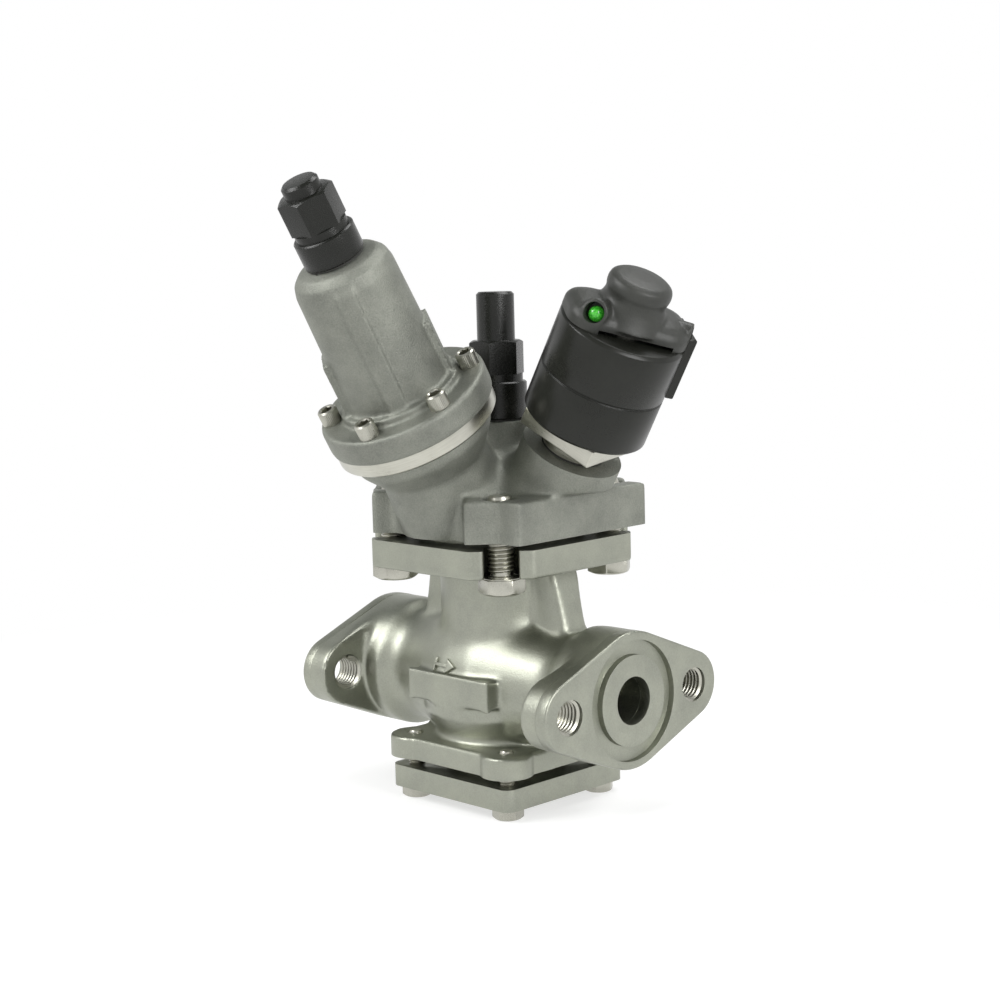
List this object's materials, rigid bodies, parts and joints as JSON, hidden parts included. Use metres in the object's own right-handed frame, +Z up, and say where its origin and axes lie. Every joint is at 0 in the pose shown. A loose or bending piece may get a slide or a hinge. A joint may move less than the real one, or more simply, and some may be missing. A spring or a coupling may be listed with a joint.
{
  "type": "pilot operated pressure regulator valve",
  "caption": "Flanged pressure regulator valve with a spring bonnet pilot, a solenoid pilot and a manual stem under seal caps.",
  "frame": {"origin": "centre of the inlet port's face", "axes": "+X along the flow to the outlet, +Z up"},
  "size_m": [0.189, 0.1823, 0.2992],
  "materials": {
    "cast_steel": "satin cast",
    "blasted_steel": "matt blasted",
    "bright_steel": "machined",
    "screw_steel": "satin",
    "spring_steel": "satin",
    "brass": "machined",
    "fibre_gasket": "matt",
    "seal_polymer": "matt",
    "black_cap": "satin",
    "black_coil": "satin",
    "lamp_green": "gloss",
    "copper_winding": "satin"
  },
  "bodies": {
    "valve": {"main_body": "cast_steel", "pilot_cover": "blasted_steel", "cover_gasket": "fibre_gasket", "cover_bolts": "screw_steel", "bottom_cover": "cast_steel", "bottom_gasket": "fibre_gasket", "bottom_bolts": "screw_steel", "seat_ring": "bright_steel", "closing_spring": "spring_steel", "manual_packing": "seal_polymer", "manual_gland": "brass", "manual_cap_gasket": "seal_polymer", "diaphragm_ring": "bright_steel", "pilot_seat": "bright_steel", "pilot_spring": "spring_steel", "diaphragm": "bright_steel", "range_spring": "spring_steel", "regulator_bonnet": "blasted_steel", "bonnet_screws": "bright_steel", "regulator_packing": "seal_polymer", "regulator_gland": "brass", "regulator_cap_gasket": "seal_polymer", "adapter_gasket": "seal_polymer", "solenoid_adapter": "bright_steel", "solenoid_tube": "bright_steel", "coil_clip": "spring_steel", "fixed_core": "bright_steel", "plunger_spring": "spring_steel"},
    "piston": {"main_plug": "bright_steel", "plug_disc": "seal_polymer", "plug_nut": "screw_steel", "main_piston": "bright_steel", "piston_ring": "seal_polymer", "piston_nut": "screw_steel"},
    "manual_foot": {"manual_foot": "bright_steel"},
    "manual_stem": {"manual_stem": "bright_steel"},
    "pilot_follower": {"lower_spring_rest": "bright_steel", "pilot_plug": "bright_steel"},
    "upper_spring_rest": {"upper_spring_rest": "bright_steel"},
    "adjusting_stem": {"adjusting_stem": "bright_steel"},
    "plunger": {"plunger": "bright_steel", "plunger_seal": "seal_polymer"},
    "coil": {"coil_housing": "black_coil", "coil_base": "screw_steel", "coil_winding": "copper_winding", "terminal_box": "black_coil", "coil_cover": "black_coil", "lamp_near": "lamp_green", "lamp_far": "lamp_green"},
    "manual_cap": {"manual_cap": "black_cap"},
    "regulator_cap": {"regulator_cap": "black_cap"}
  },
  "joints": [
    {"name": "piston_stroke", "type": "slide", "parent": "valve", "child": "piston", "axis": [0, 0, -1], "range_m": [0, 0.008], "stiffness_N_per_m": 2500, "springref_m": -0.004, "deforming": ["closing_spring"]},
    {"name": "manual_foot_travel", "type": "slide", "parent": "valve", "child": "manual_foot", "axis": [0, 0, -1], "range_m": [0, 0.003]},
    {"name": "manual_stem_turn", "type": "hinge", "parent": "manual_foot", "child": "manual_stem", "pos_m": [0.0831, 0, 0.1], "axis": [0, 0, -1], "range_deg": [0, 720]},
    {"name": "follower_travel", "type": "slide", "parent": "valve", "child": "pilot_follower", "axis": [0, 0.5, -0.866], "range_m": [0, 0.0008], "stiffness_N_per_m": 4000, "springref_m": -0.0005, "deforming": ["diaphragm", "pilot_spring", "range_spring"]},
    {"name": "spring_rest_travel", "type": "slide", "parent": "valve", "child": "upper_spring_rest", "axis": [0, 0.5, -0.866], "range_m": [0, 0.012], "deforming": ["range_spring"]},
    {"name": "adjusting_stem_turn", "type": "hinge", "parent": "upper_spring_rest", "child": "adjusting_stem", "pos_m": [0.0831, -0.09685, 0.20295], "axis": [0, 0.5, -0.866], "range_deg": [0, 2880]},
    {"name": "plunger_lift", "type": "slide", "parent": "valve", "child": "plunger", "axis": [0.5, 0, 0.866], "range_m": [0, 0.0028], "stiffness_N_per_m": 300, "springref_m": -0.003, "deforming": ["plunger_spring"]},
    {"name": "coil_swivel", "type": "hinge", "parent": "valve", "child": "coil", "pos_m": [0.15135, 0, 0.14821], "axis": [0.5, 0, 0.866], "continuous": true},
    {"name": "manual_cap_off", "type": "slide", "parent": "valve", "child": "manual_cap", "axis": [0, 0, 1], "range_m": [0, 0.03]},
    {"name": "regulator_cap_off", "type": "slide", "parent": "valve", "child": "regulator_cap", "axis": [0, -0.5, 0.866], "range_m": [0, 0.028]}
  ],
  "couplings": [
    {"joint": "manual_stem_turn", "follows": "manual_foot_travel", "rad_per_m": 4188.8},
    {"joint": "adjusting_stem_turn", "follows": "spring_rest_travel", "rad_per_m": 4188.8}
  ]
}
